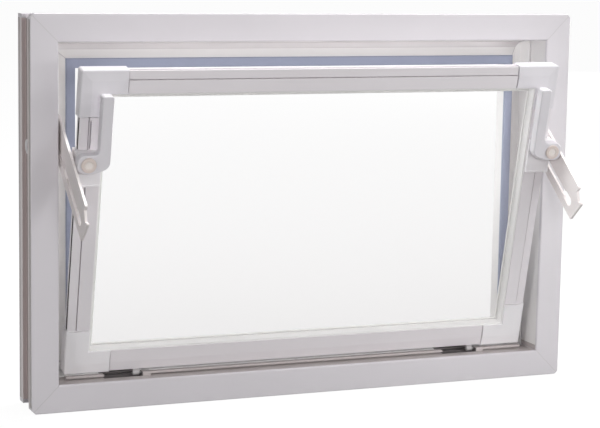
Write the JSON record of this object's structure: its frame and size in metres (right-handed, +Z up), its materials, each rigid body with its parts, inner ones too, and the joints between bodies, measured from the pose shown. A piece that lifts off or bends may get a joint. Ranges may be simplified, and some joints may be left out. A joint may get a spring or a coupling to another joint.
{
  "type": "hopper window",
  "caption": "White plastic cellar hopper window: welded frame, bottom-hung glazed sash tilted into the room on slotted stays, with lever handles on the stiles.",
  "frame": {"origin": "middle of the sill edge of the front flange, midway through the flange's thickness", "axes": "+X along the sill to the right as seen from the room, +Y from the room into the wall, +Z up"},
  "size_m": [0.6, 0.1529, 0.4],
  "materials": {
    "frame_white": "satin",
    "sash_white": "satin",
    "bead_white": "satin",
    "lever_white": "satin",
    "stay_white": "matte",
    "pin_cream": "satin",
    "seal_grey": "matte",
    "clear_glass": "clear",
    "pin_steel": "brushed"
  },
  "bodies": {
    "frame": {"frame_bottom": "frame_white", "frame_left": "frame_white", "frame_right": "frame_white", "frame_top": "frame_white", "hinge_pin_left": "pin_steel", "hinge_pin_right": "pin_steel", "seal_bottom": "seal_grey", "seal_left": "seal_grey", "seal_right": "seal_grey", "seal_top": "seal_grey", "stay_pivot_left": "pin_steel", "stay_pivot_right": "pin_steel"},
    "sash": {"bead_bottom": "bead_white", "bead_left": "bead_white", "bead_right": "bead_white", "bead_top": "bead_white", "corner_bottom_left": "sash_white", "corner_bottom_right": "sash_white", "corner_top_left": "sash_white", "corner_top_right": "sash_white", "hinge_lug_left": "sash_white", "hinge_lug_right": "sash_white", "lever_base_left": "sash_white", "lever_base_right": "sash_white", "lever_pin_left": "pin_cream", "lever_pin_right": "pin_cream", "pane": "clear_glass", "sash_bottom": "sash_white", "sash_left": "sash_white", "sash_right": "sash_white", "sash_top": "sash_white", "stay_stud_left": "pin_cream", "stay_stud_right": "pin_cream"},
    "handle_left": {"handle_left": "lever_white"},
    "handle_right": {"handle_right": "lever_white"},
    "stay_left": {"stay_left": "stay_white"},
    "stay_right": {"stay_right": "stay_white"}
  },
  "joints": [
    {"name": "sash_tilt", "type": "hinge", "parent": "frame", "child": "sash", "pos_m": [0, 0.02071, 0.03011], "axis": [1, 0, 0], "range_deg": [-12.56, 0]},
    {"name": "handle_left_turn", "type": "hinge", "parent": "sash", "child": "handle_left", "pos_m": [-0.255, -0.04233, 0.25785], "axis": [0, 0.9761, 0.2175], "range_deg": [0, 90]},
    {"name": "handle_right_turn", "type": "hinge", "parent": "sash", "child": "handle_right", "pos_m": [0.255, -0.04233, 0.25785], "axis": [0, -0.9761, -0.2175], "range_deg": [0, 90]},
    {"name": "stay_left_swing", "type": "hinge", "parent": "frame", "child": "stay_left", "pos_m": [-0.268, 0.017, 0.2806], "axis": [1, 0, 0], "range_deg": [0, 51.5]},
    {"name": "stay_right_swing", "type": "hinge", "parent": "frame", "child": "stay_right", "pos_m": [0.268, 0.017, 0.2806], "axis": [1, 0, 0], "range_deg": [0, 51.5]}
  ],
  "couplings": [
    {"joint": "stay_left_swing", "follows": "sash_tilt", "ratio": -4.1},
    {"joint": "stay_right_swing", "follows": "sash_tilt", "ratio": -4.1}
  ]
}
